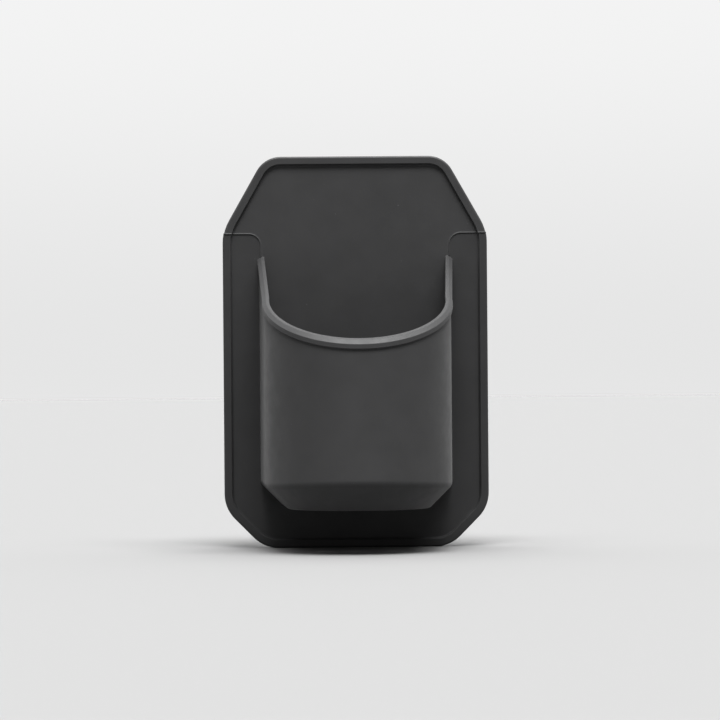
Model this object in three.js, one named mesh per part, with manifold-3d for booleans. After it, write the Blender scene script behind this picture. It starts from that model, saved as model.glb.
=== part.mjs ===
// Silicone wall holder: a D-plan cup on an elongated-octagon plate with a high-tack rear layer.
// Millimetres, +Z up. The wall is the plane y = 0 and the holder stands out of it towards -Y.
// "Depth" below always means distance out from the wall, so a point at depth d has y = -d.
// The origin is the centre of the rear face.

import * as THREE from 'three';
import { mergeVertices } from 'three/addons/utils/BufferGeometryUtils.js';
import Module from 'manifold-3d';

// ---- plate outline, seen from the front ----
const PLATE_WIDTH = 105.2;
const PLATE_HEIGHT = 155.6;
const TOP_EDGE = 71.4; // length of the top edge between its sharp corners
const BOTTOM_EDGE = 74;
const SHOULDER_Z = 48; // the slanted upper edges meet the straight sides here
const HIP_Z = -62; // the straight sides meet the lower 45 degree edges here
const TOP_CORNER_R = 10.8;
const SHOULDER_R = 20;
const LOWER_CORNER_R = 14;
const FLANGE_SHOULDER_R = 1.5; // the flange keeps an almost sharp corner at the seam

// ---- layers of the plate, as depths from the wall ----
const GAP = 0.3; // clearance between pieces that are bonded to each other
const GRIP_DEPTH = 1.0;
const GRIP_INSET = 0.8;
const SHEET_BACK = GRIP_DEPTH + GAP;
const SHEET_FRONT = 2.3;
const FLANGE_BACK = SHEET_FRONT + GAP;
const FACE_DEPTH = 4.2; // front face of both the panel and the flange
const BEAD_DEPTH = 5.4; // crest of the raised edge bead
const BEAD_WIDTH = 3.4;

// ---- seam between the panel's face and the flange ----
const SEAM_Z = 47.5;
const NECK_HALF_WIDTH = 37.2; // the panel's face narrows to this between the flange's two arms
const NECK_R = 5;

// ---- cup ----
const WALL = 2.1;
const FRONT_R = 36.3; // outer radius of the round front
const FRONT_CENTRE_DEPTH = 42.5;
const SIDE_TAPER = THREE.MathUtils.degToRad(3); // the side walls spread towards the wall
const BASE_Z = -60.9;
const FLOOR_THICKNESS = 2.6;
const BASE_CHAMFER = 10;
const CAVITY_CHAMFER = 8.8;
const TONGUE_KEY = 1.0; // the panel's tongue is let into the cup's floor by this

// ---- rim: the cup is cut by a plane that slopes down from the wall to the front ----
const RIM_TIP_Z = 38; // height of the rim where it meets the plate's face
const RIM_LIP_Z = 5.1; // height of its inner edge at the front
const RIM_PROUD = 0.7; // the rim band stands out of the cup's wall by this
const RIM_BAND = 3.3; // height of the band's outer face

// ---- drain holes in the cup's floor ----
const DRAIN_R = 2;
const DRAIN_PITCH = 12;
const DRAIN_COUNT = 3;

// ---- worked out from the sizes above ----
const FLOOR_Z = BASE_Z + FLOOR_THICKNESS;
const CAVITY_FRONT_DEPTH = FRONT_CENTRE_DEPTH + FRONT_R - WALL;
const RIM_SLOPE = Math.atan2(RIM_TIP_Z - RIM_LIP_Z, CAVITY_FRONT_DEPTH - FACE_DEPTH);
const OUTSIDE = 150; // any length that reaches well past the object
const CORNER_SEGMENTS = 6;
const FRONT_SEGMENTS = 56;
const DRAIN_SEGMENTS = 24;

const wasm = await Module();
wasm.setup();

// A closed three.js geometry as a solid that can be cut and joined.
function solid(geometry) {
  geometry.deleteAttribute('normal');
  geometry.deleteAttribute('uv');
  const merged = mergeVertices(geometry, 1e-4);
  const vertProperties = new Float32Array(merged.attributes.position.array);
  const triVerts = new Uint32Array(merged.index.array);
  return new wasm.Manifold(new wasm.Mesh({ numProp: 3, vertProperties, triVerts }));
}

// A finished solid as a named mesh with its own material.
function piece(name, body, material) {
  const { vertProperties, triVerts } = body.getMesh();
  const geometry = new THREE.BufferGeometry();
  geometry.setAttribute('position', new THREE.BufferAttribute(vertProperties, 3));
  geometry.setIndex(new THREE.BufferAttribute(triVerts, 1));
  geometry.computeVertexNormals();
  const mesh = new THREE.Mesh(geometry, material);
  mesh.name = name;
  return mesh;
}

// A closed outline through sharp corners [x, y, radius], each rounded by an arc of its radius.
function roundedShape(corners) {
  const shape = new THREE.Shape();
  corners.forEach(([x, y, radius], i) => {
    const corner = new THREE.Vector2(x, y);
    if (radius === 0) {
      if (i === 0) shape.moveTo(x, y);
      else shape.lineTo(x, y);
      return;
    }
    const [px, py] = corners.at(i - 1);
    const [nx, ny] = corners[(i + 1) % corners.length];
    const back = new THREE.Vector2(px, py).sub(corner).normalize();
    const ahead = new THREE.Vector2(nx, ny).sub(corner).normalize();
    const halfAngle = Math.acos(back.dot(ahead)) / 2;
    const reach = radius / Math.tan(halfAngle);
    const start = corner.clone().addScaledVector(back, reach);
    const end = corner.clone().addScaledVector(ahead, reach);
    const bisector = back.clone().add(ahead).normalize();
    const centre = corner.clone().addScaledVector(bisector, radius / Math.sin(halfAngle));
    const from = start.clone().sub(centre).angle();
    const to = end.clone().sub(centre).angle();
    if (i === 0) shape.moveTo(start.x, start.y);
    else shape.lineTo(start.x, start.y);
    shape.absarc(centre.x, centre.y, radius, from, to, back.cross(ahead) > 0);
  });
  shape.closePath();
  return shape;
}

// The plate's outline in front view, moved in from its edge by inset.
function plateShape(inset, shoulderRadius) {
  const half = PLATE_WIDTH / 2;
  const top = PLATE_HEIGHT / 2;
  const slant = Math.atan2(top - SHOULDER_Z, half - TOP_EDGE / 2);
  const hip = Math.atan2(top + HIP_Z, half - BOTTOM_EDGE / 2);
  const innerTop = TOP_EDGE / 2 - inset * Math.tan(slant / 2);
  const innerBottom = BOTTOM_EDGE / 2 - inset * Math.tan(hip / 2);
  const innerShoulder = SHOULDER_Z - inset * Math.tan(Math.PI / 4 - slant / 2);
  const innerHip = HIP_Z + inset * Math.tan(Math.PI / 4 - hip / 2);
  const rightSide = [
    [innerBottom, inset - top, LOWER_CORNER_R - inset],
    [half - inset, innerHip, LOWER_CORNER_R - inset],
    [half - inset, innerShoulder, Math.max(shoulderRadius - inset, 0.5)],
    [innerTop, top - inset, TOP_CORNER_R - inset],
  ];
  const leftSide = rightSide.toReversed().map(([x, y, radius]) => [-x, y, radius]);
  return roundedShape([...rightSide, ...leftSide]);
}

// The front-view area of the panel's full-thickness face: everything above the seam, and the neck
// that runs down between the flange's arms to the rim tips. grow moves its edge outwards.
function faceShape(grow) {
  const seam = SEAM_Z - grow;
  const neck = NECK_HALF_WIDTH + grow;
  const rightSide = [
    [neck, RIM_TIP_Z + GAP - grow, 0],
    [neck, seam, NECK_R - grow],
    [OUTSIDE, seam, 0],
    [OUTSIDE, OUTSIDE, 0],
  ];
  const leftSide = rightSide.toReversed().map(([x, y, radius]) => [-x, y, radius]);
  return roundedShape([...rightSide, ...leftSide]);
}

// A front-view outline made solid between two depths.
function layer(shape, backDepth, frontDepth) {
  const depth = frontDepth - backDepth;
  const geometry = new THREE.ExtrudeGeometry(shape, {
    depth,
    curveSegments: CORNER_SEGMENTS,
    bevelEnabled: false,
  });
  geometry.translate(0, 0, backDepth);
  geometry.rotateX(Math.PI / 2);
  return solid(geometry);
}

// The cup's outline from above, moved out from its outer wall by grow. Behind the plate it runs on,
// so that whatever is made of it can be cut off square.
function cupShape(grow) {
  const radius = FRONT_R + grow;
  const tangentX = radius * Math.cos(SIDE_TAPER);
  const tangentY = radius * Math.sin(SIDE_TAPER) - FRONT_CENTRE_DEPTH;
  const behind = 2 * BASE_CHAMFER;
  const spread = tangentX + (behind - tangentY) * Math.tan(SIDE_TAPER);
  const shape = new THREE.Shape();
  shape.moveTo(spread, behind);
  shape.lineTo(-spread, behind);
  shape.lineTo(-tangentX, tangentY);
  shape.absarc(0, -FRONT_CENTRE_DEPTH, radius, Math.PI - SIDE_TAPER, SIDE_TAPER, false);
  shape.closePath();
  return shape;
}

// A plan outline as an upright solid from floorZ up, with a 45 degree chamfer round its lower edge.
function column(shape, floorZ, chamfer) {
  const geometry = new THREE.ExtrudeGeometry(shape, {
    depth: OUTSIDE - 2 * chamfer,
    curveSegments: FRONT_SEGMENTS,
    bevelThickness: chamfer,
    bevelSize: chamfer,
    bevelOffset: -chamfer,
    bevelSegments: 1,
  });
  geometry.translate(0, 0, floorZ + chamfer);
  return solid(geometry);
}

// Everything above the sloping rim plane, with that plane moved down by drop.
function aboveRim(drop) {
  const geometry = new THREE.BoxGeometry(2 * OUTSIDE, 2 * OUTSIDE, OUTSIDE);
  geometry.translate(0, 0, OUTSIDE / 2);
  geometry.rotateX(RIM_SLOPE);
  geometry.translate(0, -FACE_DEPTH, RIM_TIP_Z - drop);
  return solid(geometry);
}

// Everything further out from the wall than depth.
function inFrontOf(depth) {
  const geometry = new THREE.BoxGeometry(2 * OUTSIDE, OUTSIDE, 2 * OUTSIDE);
  geometry.translate(0, -OUTSIDE / 2 - depth, 0);
  return solid(geometry);
}

// The raised bead that runs round the plate's edge.
function edgeBead(shoulderRadius) {
  const outer = layer(plateShape(0, shoulderRadius), FACE_DEPTH - GAP, BEAD_DEPTH);
  const inner = layer(plateShape(BEAD_WIDTH, shoulderRadius), 0, OUTSIDE);
  return outer.subtract(inner);
}

function gripPad() {
  const body = layer(plateShape(GRIP_INSET, SHOULDER_R), 0, GRIP_DEPTH);
  const material = new THREE.MeshStandardMaterial({ color: 0x47484a, roughness: 0.35, metalness: 0 });
  return piece('grip_pad', body, material);
}

// The part of the cup's inside that the panel's tongue fills, shrunk by clearance all round.
function tongueSpace(clearance) {
  const space = column(cupShape(-WALL - clearance), FLOOR_Z - TONGUE_KEY + clearance, CAVITY_CHAMFER);
  return space.subtract(inFrontOf(FACE_DEPTH + GAP));
}

function tongue() {
  const spaceInCup = tongueSpace(GAP);
  const face = layer(plateShape(0, SHOULDER_R), SHEET_BACK, FACE_DEPTH);
  return spaceInCup.intersect(face).subtract(layer(faceShape(0), 0, OUTSIDE));
}

function backPanel() {
  const sheet = layer(plateShape(0, SHOULDER_R), SHEET_BACK, SHEET_FRONT);
  const upper = layer(plateShape(0, SHOULDER_R), SHEET_BACK, FACE_DEPTH)
    .add(edgeBead(SHOULDER_R))
    .intersect(layer(faceShape(0), 0, OUTSIDE));
  const material = new THREE.MeshStandardMaterial({ color: 0x3b3b3c, roughness: 0.75, metalness: 0 });
  return piece('back_panel', sheet.add(upper).add(tongue()), material);
}

function rimBand() {
  return column(cupShape(RIM_PROUD), BASE_Z, BASE_CHAMFER).intersect(aboveRim(RIM_BAND));
}

function drainHoles() {
  const holes = Array.from({ length: DRAIN_COUNT }, (_, i) => {
    const geometry = new THREE.CylinderGeometry(DRAIN_R, DRAIN_R, 4 * FLOOR_THICKNESS, DRAIN_SEGMENTS);
    geometry.rotateX(Math.PI / 2);
    const x = (i - (DRAIN_COUNT - 1) / 2) * DRAIN_PITCH;
    geometry.translate(x, -FRONT_CENTRE_DEPTH, FLOOR_Z);
    return solid(geometry);
  });
  return holes.reduce((all, hole) => all.add(hole));
}

function cupBody() {
  const shell = column(cupShape(0), BASE_Z, BASE_CHAMFER)
    .add(rimBand())
    .subtract(aboveRim(0))
    .intersect(inFrontOf(FLANGE_BACK));
  const flange = layer(plateShape(0, FLANGE_SHOULDER_R), FLANGE_BACK, FACE_DEPTH)
    .add(edgeBead(FLANGE_SHOULDER_R));
  const body = shell
    .add(flange)
    .subtract(layer(faceShape(GAP), 0, OUTSIDE))
    .subtract(column(cupShape(-WALL), FLOOR_Z, CAVITY_CHAMFER))
    .subtract(tongueSpace(0))
    .subtract(drainHoles());
  const material = new THREE.MeshStandardMaterial({ color: 0x434344, roughness: 0.7, metalness: 0 });
  return piece('cup_body', body, material);
}

const group = new THREE.Group();
group.add(gripPad(), backPanel(), cupBody());

export default group;
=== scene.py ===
"""Silicone wall holder: a D-plan cup on an elongated-octagon plate with a polished grip layer.

The scene is in metres, in the row frame: +Z up, the wall is the plane y = 0 and the holder stands
out towards -Y. Meshes are shaped in millimetres and scaled by MM when they are done. "Depth" is the
distance out from the wall, so a point at depth d has y = -d.
"""

import math

import bmesh
import bpy
from mathutils import Matrix, Quaternion, Vector


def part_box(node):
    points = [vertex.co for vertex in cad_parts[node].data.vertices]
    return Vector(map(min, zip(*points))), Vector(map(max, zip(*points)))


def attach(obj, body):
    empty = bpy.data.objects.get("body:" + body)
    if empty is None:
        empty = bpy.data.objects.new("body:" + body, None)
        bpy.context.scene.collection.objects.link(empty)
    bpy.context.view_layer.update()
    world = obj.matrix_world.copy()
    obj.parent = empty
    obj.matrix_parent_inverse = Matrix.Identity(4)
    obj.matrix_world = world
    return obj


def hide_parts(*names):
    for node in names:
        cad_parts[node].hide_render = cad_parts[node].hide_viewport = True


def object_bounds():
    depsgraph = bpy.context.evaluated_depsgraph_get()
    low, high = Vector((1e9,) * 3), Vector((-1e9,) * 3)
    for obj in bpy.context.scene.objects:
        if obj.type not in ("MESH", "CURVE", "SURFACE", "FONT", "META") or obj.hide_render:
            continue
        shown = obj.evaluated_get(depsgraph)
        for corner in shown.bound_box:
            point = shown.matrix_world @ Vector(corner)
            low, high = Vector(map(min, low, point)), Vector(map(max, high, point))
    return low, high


MM = 0.001

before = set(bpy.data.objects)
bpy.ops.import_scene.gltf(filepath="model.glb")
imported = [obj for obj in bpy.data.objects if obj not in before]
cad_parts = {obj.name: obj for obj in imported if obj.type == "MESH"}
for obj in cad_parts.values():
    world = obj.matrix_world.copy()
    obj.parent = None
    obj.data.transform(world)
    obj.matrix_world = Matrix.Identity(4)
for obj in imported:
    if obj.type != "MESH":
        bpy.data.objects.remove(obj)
cad_low, cad_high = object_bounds()
panel_low, panel_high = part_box("back_panel")
_, grip_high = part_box("grip_pad")

# ---- camera: square on to the wall, a touch to the left, and rolled by half a degree ----
VIEW_WIDTH = 0.2875  # width of the wall that fills the picture
CAMERA_DISTANCE = 1.5
CAMERA_TARGET = Vector((0.0018, 0.0, -0.0033))
CAMERA_SIDE_STEP = -0.034
CAMERA_ROLL = math.radians(0.45)
SENSOR_WIDTH = 36.0

# ---- plate outline in front view (mm) ----
HALF_WIDTH = panel_high.x / MM
HALF_HEIGHT = panel_high.z / MM
TOP_HALF_EDGE = 35.7
BOTTOM_HALF_EDGE = 37.0
SHOULDER_Z = 48.0
SEAM_Z = 47.5
HIP_Z = -62.0
TOP_CORNER_R = 10.8
SHOULDER_R = 20.0
FLANGE_SHOULDER_R = 16.0
LOWER_CORNER_R = 14.0
OUTSIDE = 120.0  # any length that reaches past the object

# ---- layers of the plate (mm of depth) ----
GRIP_INSET = HALF_WIDTH - grip_high.x / MM
GRIP_FRONT = 1.2
SHEET_BACK = -panel_high.y / MM
SHEET_FRONT = 2.3
FLANGE_BACK = 2.4
FACE = 4.2
CREST = -panel_low.y / MM
CREST_R = 0.8  # outer edge of the bead's crest
BEAD_FLAT = 3.05  # width of the edge bead's crest
BEAD_FLAT_R = 0.3
STEP_FOOT = 3.45  # the step on the bead's inner side meets the face here
STEP_FOOT_R = 0.8
REAR_EDGE_R = 0.25
GRIP_EDGE_R = 0.3
EDGE_REACH = 4.0  # how far an edge profile runs on into the flat of the plate

# ---- seam between the panel's face and the flange (mm) ----
SEAM_GAP = 0.1  # also the gap that the looks keep between the layers
NECK_HALF = 37.2
NECK_R = 5.0
TONGUE_HALF = 36.1
RIDGE_R = 0.3  # witness line that stands up along the seam
RIDGE_OFFSET = SEAM_GAP + 0.2  # from the middle of the witness line to the panel's side of the seam
RIDGE_SIDES = 12
SEAM_END_INSET = 0.45  # the flange's rounded shoulder is this far in where the seam meets it

# ---- cup (mm) ----
FRONT_R = 36.3
WALL = 2.1
CENTRE_DEPTH = 42.5
TAPER = math.radians(3)
BASE_Z = -60.9
FLOOR_Z = -58.3
CHAMFER = 10.0
SIDE_CHAMFER = 0.88  # the chamfer's size at the sides and at the front, as parts of CHAMFER
FRONT_CHAMFER = 1.035
CAVITY_CHAMFER = 8.8
BASE_EDGE_R = 2.4  # where the chamfer meets the base, and where it meets the outer wall
CHAMFER_TOP_R = 4.0
FLOOR_EDGE_R = 2.0  # the same two inside the cup
CAVITY_TOP_R = 3.0
RIM_TIP_Z = 38.0
RIM_LIP_Z = 5.1
RIM_PROUD = 0.7
RIM_BAND = (3.3, 2.9)  # how far below the rim plane the band's step starts and ends
RIM_BEVEL = 1.15  # how far below the rim plane the band's bevel starts
RIM_BEVEL_INSET = 0.7
RIM_EDGE_R = 0.3
RIM_BEVEL_R = 0.35
RIM_OUTER_END = 4.2  # the rim's profile ends this far below the rim plane, outside and inside
RIM_INNER_END = 3.0
ROOT_R = 0.6  # fillet where the cup's wall meets the flange
RIM_ROOT_R = 0.3
INNER_ROOT_R = 0.2
ROOT_SINK = 0.03  # how far the fillets end below the face
ROOT_END = 3.4  # the wall's root ends at this depth, inside the flange
RIM_DROPS = (9, 7, 5.5)  # lines of the skin below the rim's band
BLEND_START = 12  # the skin turns from level to parallel with the rim this far below it
FOOT_REACH = 3.0  # height of the wall's straight start above a chamfer
FLAT_REACH = 2.5  # width of the flat that the profiles run on into the base and the floor
DRAIN_R = 2.0
DRAIN_FLARE = 0.5
DRAIN_PITCH = 12.0
DRAIN_SIDES = 32
RIM_SLOPE = (RIM_TIP_Z - RIM_LIP_Z) / (CENTRE_DEPTH + FRONT_R - WALL - FACE)

# ---- studio light ----
KEY_ELEVATION = 62
KEY_LIGHTS = ((-43, 1.3), (2, 5.1), (47, 2.4))  # azimuth in degrees, and strength
KEY_SPREAD = 26
OVERHEAD_SOURCE = (0, 0.3, 1)
OVERHEAD_SPREAD = 50
OVERHEAD_STRENGTH = 1.5
SKY_FRONT = 0.03
SKY_BEHIND = 1.05
SKY_HORIZON = 0.83
SKY_HIGH = 0.92
FLOOR_ALBEDO = 0.203
FLOOR_REACH = 6.0
GAMMA = 0.78

# ---- silicone: tones are parts of its albedo, lengths are in mm ----
SILICONE_IOR = 1.43
SHEEN_ROUGHNESS = 0.45
MOTTLE_DARK = 0.95
MOTTLE_LIGHT = 1.05
MOTTLE_GRAIN = 14
# Convex edges are lightened: partly wear, partly a painted highlight.
WORN_HIGHLIT_EDGE_TONE = 1.5
WORN_HIGHLIT_EDGE_REACH = 1.0
LINT_TONE = 3.5
LINT_GRAIN = 0.9
LINT_PATCH_GRAIN = 9
GLOSS_GRAIN = 5
BLUE_TINT = 1.015  # its blue against its red and green
# Painted shade over what lies close to the wall: the flange and the foot of the cup.
FLANGE_SHADE_TONE = 0.84
FLANGE_SHADE_DEPTHS = (9, 6)  # the darker tone starts at the first and is full from the second

# ---- how finely the cup is meshed ----
SIDE_STEPS = 6
ARC_STEPS = 84
LADDER_STEPS = 10
ROOT_ANGLES = [math.radians(a) for a in (15, 30, 45, 60, 75, 90)]
FINE_STEP = math.radians(11)
EDGE_STEP = math.radians(15)
SHARP_FROM = math.radians(38)


# ------------------------------------------------------------------ outlines


def rounded(corners, closed=True, step=math.radians(7)):
    """The points of an outline through corners (x, y, radius), each corner rounded by an arc."""
    points = []
    for i, (x, y, radius) in enumerate(corners):
        corner = Vector((x, y))
        if radius == 0 or (not closed and i in (0, len(corners) - 1)):
            points.append(corner)
            continue
        back = (Vector(corners[i - 1][:2]) - corner).normalized()
        ahead = (Vector(corners[(i + 1) % len(corners)][:2]) - corner).normalized()
        half = back.angle(ahead) / 2
        centre = corner + (back + ahead).normalized() * (radius / math.sin(half))
        arm = corner + back * (radius / math.tan(half)) - centre
        sweep = math.pi - 2 * half
        turn = -1 if back.x * ahead.y - back.y * ahead.x > 0 else 1
        steps = max(2, math.ceil(sweep / step))
        for k in range(steps + 1):
            points.append(centre + Matrix.Rotation(turn * sweep * k / steps, 2) @ arm)
    return points


def mirrored(right_side):
    """A closed list of corners from those of its right side, bottom to top."""
    return right_side + [(-x, y, radius) for x, y, radius in reversed(right_side)]


def plate_outline(inset, shoulder_radius):
    """The plate's outline in front view, moved in from its edge by inset."""
    slant = math.atan2(HALF_HEIGHT - SHOULDER_Z, HALF_WIDTH - TOP_HALF_EDGE)
    hip = math.atan2(HALF_HEIGHT + HIP_Z, HALF_WIDTH - BOTTOM_HALF_EDGE)
    side = HALF_WIDTH - inset
    end = HALF_HEIGHT - inset
    lower_radius = LOWER_CORNER_R - inset
    right_side = [
        (BOTTOM_HALF_EDGE - inset * math.tan(hip / 2), -end, lower_radius),
        (side, HIP_Z + inset * math.tan(math.pi / 4 - hip / 2), lower_radius),
        (
            side,
            SHOULDER_Z - inset * math.tan(math.pi / 4 - slant / 2),
            max(shoulder_radius - inset, 0.5),
        ),
        (TOP_HALF_EDGE - inset * math.tan(slant / 2), end, TOP_CORNER_R - inset),
    ]
    return rounded(mirrored(right_side))


def flange_zone(gap):
    """The front-view area that the flange fills: below the seam and outside the neck and tongue."""
    tongue = TONGUE_HALF + gap
    tongue_low = FLOOR_Z - gap
    chamfer = CAVITY_CHAMFER
    right_side = [
        (tongue - chamfer, tongue_low, 0),
        (tongue, tongue_low + chamfer, 0),
        (tongue, RIM_TIP_Z, 0),
        (NECK_HALF + gap, RIM_TIP_Z, 0),
        (NECK_HALF + gap, SEAM_Z - gap, NECK_R - gap),
        (OUTSIDE, SEAM_Z - gap, 0),
        (OUTSIDE, -OUTSIDE, 0),
    ]
    left_side = [(-x, z, radius) for x, z, radius in right_side]
    return rounded(list(reversed(left_side)) + right_side)


# ------------------------------------------------------------------ solids


def as_object(name, mesh):
    obj = bpy.data.objects.new(name, mesh)
    bpy.context.scene.collection.objects.link(obj)
    return obj


def closed_object(name, bm):
    """A new object of a closed bmesh, with its faces pointing out."""
    bmesh.ops.remove_doubles(bm, verts=bm.verts, dist=1e-5)
    bmesh.ops.recalc_face_normals(bm, faces=bm.faces)
    mesh = bpy.data.meshes.new(name)
    bm.to_mesh(mesh)
    bm.free()
    return as_object(name, mesh)


def stacked(name, rings):
    """A solid of closed rings of points, one quad band between each two, and flat ends."""
    bm = bmesh.new()
    verts = [[bm.verts.new(p) for p in ring] for ring in rings]
    for lower, upper in zip(verts, verts[1:]):
        for k in range(len(lower)):
            bm.faces.new((lower[k - 1], lower[k], upper[k], upper[k - 1]))
    bm.faces.new(verts[0])
    bm.faces.new(verts[-1])
    return closed_object(name, bm)


def at_depth(outline, depth):
    return [(p.x, -depth, p.y) for p in outline]


def slab(name, outline, back, front):
    return stacked(name, [at_depth(outline, back), at_depth(outline, front)])


def plate(name, profile, shoulder_radius):
    """A plate whose edge follows a profile of (inset, depth) points from back to front."""
    rings = [at_depth(plate_outline(p.x, shoulder_radius), p.y) for p in profile]
    return stacked(name, rings)


def combine(target, tool, operation):
    """Joins tool to target, or cuts it away, and deletes tool."""
    modifier = target.modifiers.new("combine", "BOOLEAN")
    modifier.operation = operation
    modifier.solver = "MANIFOLD"
    modifier.object = tool
    graph = bpy.context.evaluated_depsgraph_get()
    mesh = bpy.data.meshes.new_from_object(target.evaluated_get(graph))
    target.modifiers.clear()
    target.data = mesh
    bpy.data.objects.remove(tool)


def beaded_edge(back):
    """Profile of the plate's edge: round outer side, flat crest, and a step down to the face."""
    flat = BEAD_FLAT + EDGE_REACH
    corners = [
        (flat, back, 0),
        (0, back, REAR_EDGE_R),
        (0, CREST, CREST_R),
        (BEAD_FLAT, CREST, BEAD_FLAT_R),
        (STEP_FOOT, FACE, STEP_FOOT_R),
        (flat, FACE, 0),
    ]
    return rounded(corners, closed=False, step=EDGE_STEP)


def plain_edge(inset, back, front, radius):
    """Profile of an edge with the same rounding at its back and its front."""
    flat = inset + EDGE_REACH
    corners = [(flat, back, 0), (inset, back, radius), (inset, front, radius), (flat, front, 0)]
    return rounded(corners, closed=False, step=EDGE_STEP)


# ------------------------------------------------------------------ cup shell


class Row:
    """One line of the cup's skin round its plan: an inset from the outer wall and a height.

    The height is below the rim plane by drop where mix is 0, and z where mix is 1. root is the
    radius of the fillet with which the line meets the plate. Where grows is true, the line is part
    of the base's chamfer, which is larger at the front than at the sides.
    """

    def __init__(self, inset, drop, z, mix, root, grows=False):
        self.inset = inset
        self.drop = drop
        self.z = z
        self.mix = mix
        self.root = root
        self.grows = grows

    def size_at(self, column):
        if not self.grows:
            return 1
        side, value = column
        ahead = max(math.sin(value), 0) if side == 0 else 0
        return SIDE_CHAMFER + (FRONT_CHAMFER - SIDE_CHAMFER) * ahead**2

    def height(self, column, depth):
        below_rim = RIM_TIP_Z - (depth - FACE) * RIM_SLOPE - self.drop
        z = BASE_Z + (self.z - BASE_Z) * self.size_at(column)
        return below_rim + (z - below_rim) * self.mix


def plan_columns():
    """Where the skin's columns stand: along the left side, round the front, along the right."""
    along = [(k / SIDE_STEPS) ** 1.5 for k in range(SIDE_STEPS)]
    sweep = math.pi + 2 * TAPER
    left = [(-1, q) for q in along]
    front = [(0, -TAPER + sweep * k / ARC_STEPS) for k in range(ARC_STEPS + 1)]
    right = [(1, q) for q in reversed(along)]
    return left + front + right


def plan_point(column, row):
    """Where a column of the skin crosses a row, as x and depth."""
    side, value = column
    radius = FRONT_R - row.inset * row.size_at(column)
    if side == 0:
        return -radius * math.cos(value), CENTRE_DEPTH + radius * math.sin(value)
    tangent = CENTRE_DEPTH - radius * math.sin(TAPER)
    root = FACE + row.root
    depth = root + (tangent - root) * value
    x = radius * math.cos(TAPER) + (tangent - depth) * math.tan(TAPER)
    return side * x, depth


def outer_foot():
    """The base's edge, its chamfer and the start of the outer wall, as insets and heights."""
    corners = [
        (CHAMFER + FLAT_REACH, BASE_Z, 0),
        (CHAMFER, BASE_Z, BASE_EDGE_R),
        (0, BASE_Z + CHAMFER, CHAMFER_TOP_R),
        (0, BASE_Z + CHAMFER + FOOT_REACH, 0),
    ]
    return rounded(corners, closed=False)


def rim_band():
    """The rim from the wall's outside to its inside, as insets and heights above the rim plane."""
    corners = [
        (0, -RIM_OUTER_END, 0),
        (0, -RIM_BAND[0], RIM_EDGE_R),
        (-RIM_PROUD, -RIM_BAND[1], RIM_EDGE_R),
        (-RIM_PROUD, -RIM_BEVEL, RIM_BEVEL_R),
        (RIM_BEVEL_INSET, 0, RIM_BEVEL_R),
        (WALL, 0, RIM_EDGE_R),
        (WALL, -RIM_INNER_END, 0),
    ]
    return rounded(corners, closed=False, step=FINE_STEP)


def inner_foot():
    """The end of the inner wall, the chamfer and the floor's edge, as insets and heights."""
    flat = WALL + CAVITY_CHAMFER
    corners = [
        (WALL, FLOOR_Z + CAVITY_CHAMFER + FOOT_REACH, 0),
        (WALL, FLOOR_Z + CAVITY_CHAMFER, CAVITY_TOP_R),
        (flat, FLOOR_Z, FLOOR_EDGE_R),
        (flat + FLAT_REACH, FLOOR_Z, 0),
    ]
    return rounded(corners, closed=False, step=FINE_STEP)


def skin_rows():
    """The cup's cross-section, from its base up the outside, over the rim and down the inside."""
    outer_start = BASE_Z + CHAMFER + FOOT_REACH
    inner_end = FLOOR_Z + CAVITY_CHAMFER + FOOT_REACH
    rows = [Row(p.x, 0, p.y, 1, ROOT_R, grows=True) for p in outer_foot()]
    rows += [Row(0, BLEND_START, outer_start, mix, ROOT_R) for mix in (0.75, 0.5, 0.25, 0)]
    rows += [Row(0, drop, 0, 0, ROOT_R) for drop in RIM_DROPS]
    rows += [Row(p.x, -p.y, 0, 0, RIM_ROOT_R) for p in rim_band()]
    rows += [Row(WALL, RIM_INNER_END, inner_end, mix, INNER_ROOT_R) for mix in (0.25, 0.5, 0.75)]
    rows += [Row(p.x, 0, p.y, 1, INNER_ROOT_R) for p in inner_foot()]
    return rows


def ladder(bm, ring):
    """Fills the flat area inside a row of the skin. Returns the points between its root ends."""
    last = len(ring) - 1
    middle = last // 2
    rungs = []
    for i in range(middle):
        left, right = ring[i], ring[last - i]
        inner = [
            bm.verts.new(left.co.lerp(right.co, k / LADDER_STEPS)) for k in range(1, LADDER_STEPS)
        ]
        rungs.append([left, *inner, right])
    for lower, upper in zip(rungs, rungs[1:]):
        for k in range(LADDER_STEPS):
            bm.faces.new((lower[k], lower[k + 1], upper[k + 1], upper[k]))
    tip = ring[middle]
    for k in range(LADDER_STEPS):
        bm.faces.new((rungs[-1][k], rungs[-1][k + 1], tip))
    return rungs[0][1:-1]


def root_loop(grid, rows, base_points, floor_points):
    """The closed loop of the skin's ends at the plate, each with the radius of its fillet."""
    right = [(line[-1], row.root) for line, row in zip(grid, rows)]
    left = [(line[0], row.root) for line, row in zip(grid, rows)]
    base = [(v, rows[0].root) for v in base_points]
    floor = [(v, rows[-1].root) for v in reversed(floor_points)]
    return base + right + floor + left[::-1]


def add_root(bm, loop):
    """Flares the skin out onto the plate by a fillet, and closes it inside the plate."""
    count = len(loop)
    outward = []
    for k in range(count):
        along = loop[(k + 1) % count][0].co - loop[k - 1][0].co
        outward.append(Vector((along.z, 0, -along.x)).normalized())
    previous = [v for v, _ in loop]
    for angle in [*ROOT_ANGLES, None]:
        ring = []
        for k, (vert, radius) in enumerate(loop):
            reach = radius if angle is None else radius * (1 - math.cos(angle))
            rise = radius if angle is None else radius * math.sin(angle)
            depth = ROOT_END if angle is None else FACE + radius - rise - ROOT_SINK
            place = vert.co + outward[k] * reach
            ring.append(bm.verts.new((place.x, -depth, place.z)))
        for k in range(count):
            bm.faces.new((previous[k - 1], previous[k], ring[k], ring[k - 1]))
        previous = ring
    bm.faces.new(previous)


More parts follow.
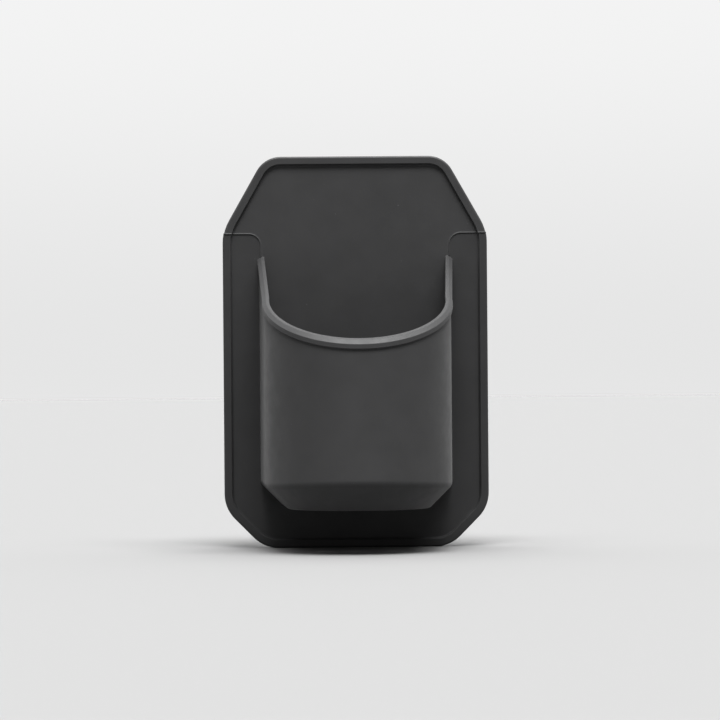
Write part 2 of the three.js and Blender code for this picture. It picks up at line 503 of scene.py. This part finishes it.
def cup_shell():
    """The cup as one closed solid that ends inside the flange."""
    rows = skin_rows()
    columns = plan_columns()
    bm = bmesh.new()
    grid = []
    for row in rows:
        line = []
        for column in columns:
            x, depth = plan_point(column, row)
            line.append(bm.verts.new((x, -depth, row.height(column, depth))))
        grid.append(line)
    for lower, upper in zip(grid, grid[1:]):
        for i in range(len(columns) - 1):
            bm.faces.new((lower[i], lower[i + 1], upper[i + 1], upper[i]))
    base_points = ladder(bm, grid[0])
    floor_points = ladder(bm, grid[-1])
    add_root(bm, root_loop(grid, rows, base_points, floor_points))
    return closed_object("cup_shell", bm)


def bead_depth(inset):
    """How far out the plate's front is, at an inset from its edge."""
    if inset < BEAD_FLAT:
        return CREST - CREST_R + math.sqrt(CREST_R**2 - max(CREST_R - inset, 0) ** 2)
    run = min((inset - BEAD_FLAT) / (STEP_FOOT - BEAD_FLAT), 1)
    return CREST + (FACE - CREST) * run


def seam_ridge(side):
    """A fine witness line that stands up along the flange's side of the seam."""
    high = SEAM_Z - RIDGE_OFFSET
    neck = NECK_HALF + RIDGE_OFFSET
    corners = [(HALF_WIDTH, high, 0), (neck, high, NECK_R - RIDGE_OFFSET), (neck, RIM_TIP_Z, 0)]
    path = rounded(corners, closed=False)
    insets = [0.1, 0.4, 0.8, 1.6, BEAD_FLAT, STEP_FOOT]
    edge = HALF_WIDTH - SEAM_END_INSET
    points = [Vector((edge - inset, -bead_depth(inset), high)) for inset in insets]
    points += [Vector((p.x, -FACE, p.y)) for p in path[1:]]
    rings = []
    for k, point in enumerate(points):
        along = (points[min(k + 1, len(points) - 1)] - points[max(k - 1, 0)]).normalized()
        out = (Vector((0, -1, 0)) + along * along.y).normalized()
        across = along.cross(out)
        turns = [math.tau * i / RIDGE_SIDES for i in range(RIDGE_SIDES)]
        ring = [point + (out * math.sin(a) + across * math.cos(a)) * RIDGE_R for a in turns]
        rings.append([(side * p.x, p.y, p.z) for p in ring])
    return stacked("ridge", rings)


def drain_cutter(x):
    """A drain hole at x, flared where it leaves the base and the floor of the cup."""
    turns = [math.tau * k / DRAIN_SIDES for k in range(DRAIN_SIDES)]
    profile = [
        (BASE_Z - 1, DRAIN_R + 1 + DRAIN_FLARE),
        (BASE_Z + DRAIN_FLARE, DRAIN_R),
        (FLOOR_Z - DRAIN_FLARE, DRAIN_R),
        (FLOOR_Z + 1, DRAIN_R + 1 + DRAIN_FLARE),
    ]
    rings = [
        [(x + r * math.cos(a), -CENTRE_DEPTH + r * math.sin(a), z) for a in turns]
        for z, r in profile
    ]
    return stacked("drain", rings)


# ------------------------------------------------------------------ pieces


def finished(obj, material, node):
    """Scales a shaped piece to metres, smooths it and puts it in place of its CAD node."""
    mesh = obj.data
    mesh.transform(Matrix.Scale(MM, 4))
    mesh.shade_smooth()
    mesh.set_sharp_from_angle(angle=SHARP_FROM)
    weighted = obj.modifiers.new("weighted", "WEIGHTED_NORMAL")
    weighted.keep_sharp = True
    weighted.weight = 100
    mesh.materials.clear()
    mesh.materials.append(material)
    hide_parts(node)
    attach(obj, "root")
    return obj


def make_grip_pad(material):
    edge = plain_edge(GRIP_INSET, 0.0, GRIP_FRONT, GRIP_EDGE_R)
    return finished(plate("grip_layer", edge, SHOULDER_R), material, "grip_pad")


def make_back_panel(material):
    panel = plate("panel", beaded_edge(SHEET_BACK), SHOULDER_R)
    pocket = slab("pocket", flange_zone(0), SHEET_FRONT, OUTSIDE)
    combine(panel, pocket, "DIFFERENCE")
    return finished(panel, material, "back_panel")


def make_cup_body(material):
    cup = plate("cup", beaded_edge(FLANGE_BACK), FLANGE_SHOULDER_R)
    combine(cup, slab("zone", flange_zone(SEAM_GAP), 0, OUTSIDE), "INTERSECT")
    for side in (-1, 1):
        combine(cup, seam_ridge(side), "UNION")
    combine(cup, cup_shell(), "UNION")
    for x in (-DRAIN_PITCH, 0, DRAIN_PITCH):
        combine(cup, drain_cutter(x), "DIFFERENCE")
    return finished(cup, material, "cup_body")


# ------------------------------------------------------------------ materials


def map_range(tree, source, low, high, to_low, to_high):
    """source, with low to high turned smoothly into to_low to to_high."""
    node = tree.nodes.new("ShaderNodeMapRange")
    node.interpolation_type = "SMOOTHSTEP"
    tree.links.new(source, node.inputs["Value"])
    limits = {"From Min": low, "From Max": high, "To Min": to_low, "To Max": to_high}
    for key, value in limits.items():
        node.inputs[key].default_value = value
    return node.outputs["Result"]


def noise(tree, grain, detail):
    """Noise whose largest features are about grain millimetres across, about 0.5 on average."""
    place = tree.nodes.new("ShaderNodeTexCoord")
    node = tree.nodes.new("ShaderNodeTexNoise")
    node.inputs["Scale"].default_value = 1 / (grain * MM)
    node.inputs["Detail"].default_value = detail
    tree.links.new(place.outputs["Object"], node.inputs["Vector"])
    return node.outputs["Fac"]


def multiplied(tree, first, second):
    node = tree.nodes.new("ShaderNodeMath")
    node.operation = "MULTIPLY"
    tree.links.new(first, node.inputs[0])
    tree.links.new(second, node.inputs[1])
    return node.outputs["Value"]


def mixed(tree, factor, first, second):
    """A colour mix. first is a colour or a link, and second is a colour."""
    node = tree.nodes.new("ShaderNodeMix")
    node.data_type = "RGBA"
    tree.links.new(factor, node.inputs["Factor"])
    if isinstance(first, tuple):
        node.inputs["A"].default_value = (*first, 1)
    else:
        tree.links.new(first, node.inputs["A"])
    node.inputs["B"].default_value = (*second, 1)
    return node.outputs["Result"]


def worn_and_highlit_edges(tree):
    """1 along convex edges and 0 on broad faces: the mask of edge wear and painted highlight."""
    node = tree.nodes.new("ShaderNodeAmbientOcclusion")
    node.inside = True
    node.only_local = True
    node.samples = 8
    node.inputs["Distance"].default_value = WORN_HIGHLIT_EDGE_REACH * MM
    return map_range(tree, node.outputs["AO"], 0.95, 0.45, 0, 1)


def painted_flange_shade(tree, colour):
    """Painted shade: darkens what lies close to the wall, which is the flange and the foot of the
    cup.
    """
    place = tree.nodes.new("ShaderNodeTexCoord")
    axes = tree.nodes.new("ShaderNodeSeparateXYZ")
    tree.links.new(place.outputs["Object"], axes.inputs["Vector"])
    start, full = FLANGE_SHADE_DEPTHS
    near = map_range(tree, axes.outputs["Y"], -start * MM, -full * MM, 0, 1)
    mix = tree.nodes.new("ShaderNodeMix")
    mix.data_type = "RGBA"
    mix.blend_type = "MULTIPLY"
    tree.links.new(near, mix.inputs["Factor"])
    tree.links.new(colour, mix.inputs["A"])
    mix.inputs["B"].default_value = (FLANGE_SHADE_TONE, FLANGE_SHADE_TONE, FLANGE_SHADE_TONE, 1)
    return mix.outputs["Result"]


def silicone(name, albedo, smooth, rough, grain, relief, sheen, paint_flange_shade=False):
    """Moulded silicone: mottled charcoal, convex edges lightened as wear and painted highlight, a
    little lint, and a fine skin texture.

    smooth and rough are the limits of its roughness, and grain and relief are the size and the
    height of its texture in millimetres. The last argument, when true, darkens what lies close
    to the wall with painted shade.
    """
    material = bpy.data.materials.new(name)
    material.use_nodes = True
    tree = material.node_tree
    shader = tree.nodes["Principled BSDF"]
    shader.inputs["IOR"].default_value = SILICONE_IOR
    shader.inputs["Sheen Weight"].default_value = sheen
    shader.inputs["Sheen Roughness"].default_value = SHEEN_ROUGHNESS

    tones = [albedo * k for k in (MOTTLE_DARK, MOTTLE_LIGHT, WORN_HIGHLIT_EDGE_TONE, LINT_TONE)]
    dark, light, worn_highlit, lint = [(tone, tone, tone * BLUE_TINT) for tone in tones]
    mottle = map_range(tree, noise(tree, MOTTLE_GRAIN, 4), 0.3, 0.7, 0, 1)
    colour = mixed(tree, mottle, dark, light)
    # Lighten convex edges: partly wear, partly a painted highlight.
    edges = map_range(tree, worn_and_highlit_edges(tree), 0, 1, 0, 0.6)
    colour = mixed(tree, edges, colour, worn_highlit)
    specks = map_range(tree, noise(tree, LINT_GRAIN, 1), 0.76, 0.84, 0, 0.5)
    patches = map_range(tree, noise(tree, LINT_PATCH_GRAIN, 2), 0.4, 0.65, 0, 1)
    colour = mixed(tree, multiplied(tree, specks, patches), colour, lint)
    # Painted shade near the wall.
    if paint_flange_shade:
        colour = painted_flange_shade(tree, colour)
    tree.links.new(colour, shader.inputs["Base Color"])

    roughness = map_range(tree, noise(tree, GLOSS_GRAIN, 5), 0.3, 0.7, smooth, rough)
    tree.links.new(roughness, shader.inputs["Roughness"])

    bump = tree.nodes.new("ShaderNodeBump")
    bump.inputs["Strength"].default_value = 1
    bump.inputs["Distance"].default_value = relief * MM
    tree.links.new(noise(tree, grain, 3), bump.inputs["Height"])
    tree.links.new(bump.outputs["Normal"], shader.inputs["Normal"])
    return material


# ------------------------------------------------------------------ studio


def make_camera():
    data = bpy.data.cameras.new("camera")
    data.sensor_width = SENSOR_WIDTH
    data.lens = SENSOR_WIDTH * CAMERA_DISTANCE / VIEW_WIDTH
    camera = bpy.data.objects.new("camera", data)
    bpy.context.scene.collection.objects.link(camera)
    bpy.context.scene.camera = camera
    camera.location = CAMERA_TARGET + Vector((CAMERA_SIDE_STEP, -CAMERA_DISTANCE, 0))
    ahead = (CAMERA_TARGET - camera.location).normalized()
    camera.rotation_mode = "QUATERNION"
    camera.rotation_quaternion = Quaternion(ahead, CAMERA_ROLL) @ ahead.to_track_quat("-Z", "Y")


def make_sun(name, source, spread, strength):
    """A distant soft light: source is the direction it comes from, spread its angular size."""
    data = bpy.data.lights.new(name, "SUN")
    data.angle = math.radians(spread)
    data.energy = strength
    lamp = bpy.data.objects.new(name, data)
    bpy.context.scene.collection.objects.link(lamp)
    lamp.rotation_euler = Vector(source).to_track_quat("Z", "Y").to_euler()


def make_lights():
    """Three soft key lights from high in front, and a softer one from above and behind."""
    elevation = math.radians(KEY_ELEVATION)
    flat = math.cos(elevation)
    for azimuth, strength in KEY_LIGHTS:
        turn = math.radians(azimuth)
        source = (flat * math.sin(turn), -flat * math.cos(turn), math.sin(elevation))
        make_sun("key", source, KEY_SPREAD, strength)
    make_sun("overhead", OVERHEAD_SOURCE, OVERHEAD_SPREAD, OVERHEAD_STRENGTH)


def set_tone():
    """Plain colours with the contrast raised a little."""
    view = bpy.context.scene.view_settings
    view.view_transform = "Standard"
    view.gamma = GAMMA


def make_world():
    """A pale horizon all round, a bright sky behind the holder and a dim one in front of it."""
    world = bpy.data.worlds.new("world")
    bpy.context.scene.world = world
    world.use_nodes = True
    tree = world.node_tree
    nodes, links = tree.nodes, tree.links
    background = nodes["Background"]
    direction = nodes.new("ShaderNodeTexCoord")
    axes = nodes.new("ShaderNodeSeparateXYZ")
    links.new(direction.outputs["Generated"], axes.inputs["Vector"])
    sky = map_range(tree, axes.outputs["Y"], -0.5, 0.15, SKY_FRONT, SKY_BEHIND)
    height = nodes.new("ShaderNodeMath")
    height.operation = "ABSOLUTE"
    links.new(axes.outputs["Z"], height.inputs[0])
    band = map_range(tree, height.outputs["Value"], 0.1, 0.17, 1, 0)
    haze = map_range(tree, height.outputs["Value"], 0, 0.1, SKY_HORIZON, SKY_HIGH)
    mix = nodes.new("ShaderNodeMix")
    links.new(band, mix.inputs["Factor"])
    links.new(sky, mix.inputs["A"])
    links.new(haze, mix.inputs["B"])
    links.new(mix.outputs["Result"], background.inputs["Strength"])
    background.inputs["Color"].default_value = (1, 1, 1, 1)


def make_floor():
    mesh = bpy.data.meshes.new("floor")
    signs = [(-1, -1), (1, -1), (1, 1), (-1, 1)]
    corners = [(FLOOR_REACH * x, FLOOR_REACH * y) for x, y in signs]
    mesh.from_pydata([(x, y, cad_low.z) for x, y in corners], [], [(0, 1, 2, 3)])
    floor = as_object("floor", mesh)
    material = bpy.data.materials.new("pale_floor")
    material.use_nodes = True
    shader = material.node_tree.nodes["Principled BSDF"]
    shader.inputs["Base Color"].default_value = (*[FLOOR_ALBEDO] * 3, 1)
    shader.inputs["Roughness"].default_value = 0.9
    mesh.materials.append(material)


# ------------------------------------------------------------------ the scene


make_camera()
grip = silicone(
    "grip_silicone", albedo=0.05, smooth=0.16, rough=0.3, grain=1.6, relief=0.01, sheen=0.0
)
panel = silicone(
    "panel_silicone", albedo=0.043, smooth=0.52, rough=0.6, grain=0.5, relief=0.012, sheen=0.06
)
cup = silicone(
    "cup_silicone",
    albedo=0.044,
    smooth=0.5,
    rough=0.58,
    grain=0.5,
    relief=0.012,
    sheen=0.06,
    # paints shade near the wall
    paint_flange_shade=True,
)
make_grip_pad(grip)
make_back_panel(panel)
make_cup_body(cup)
make_floor()
make_world()
make_lights()
set_tone()
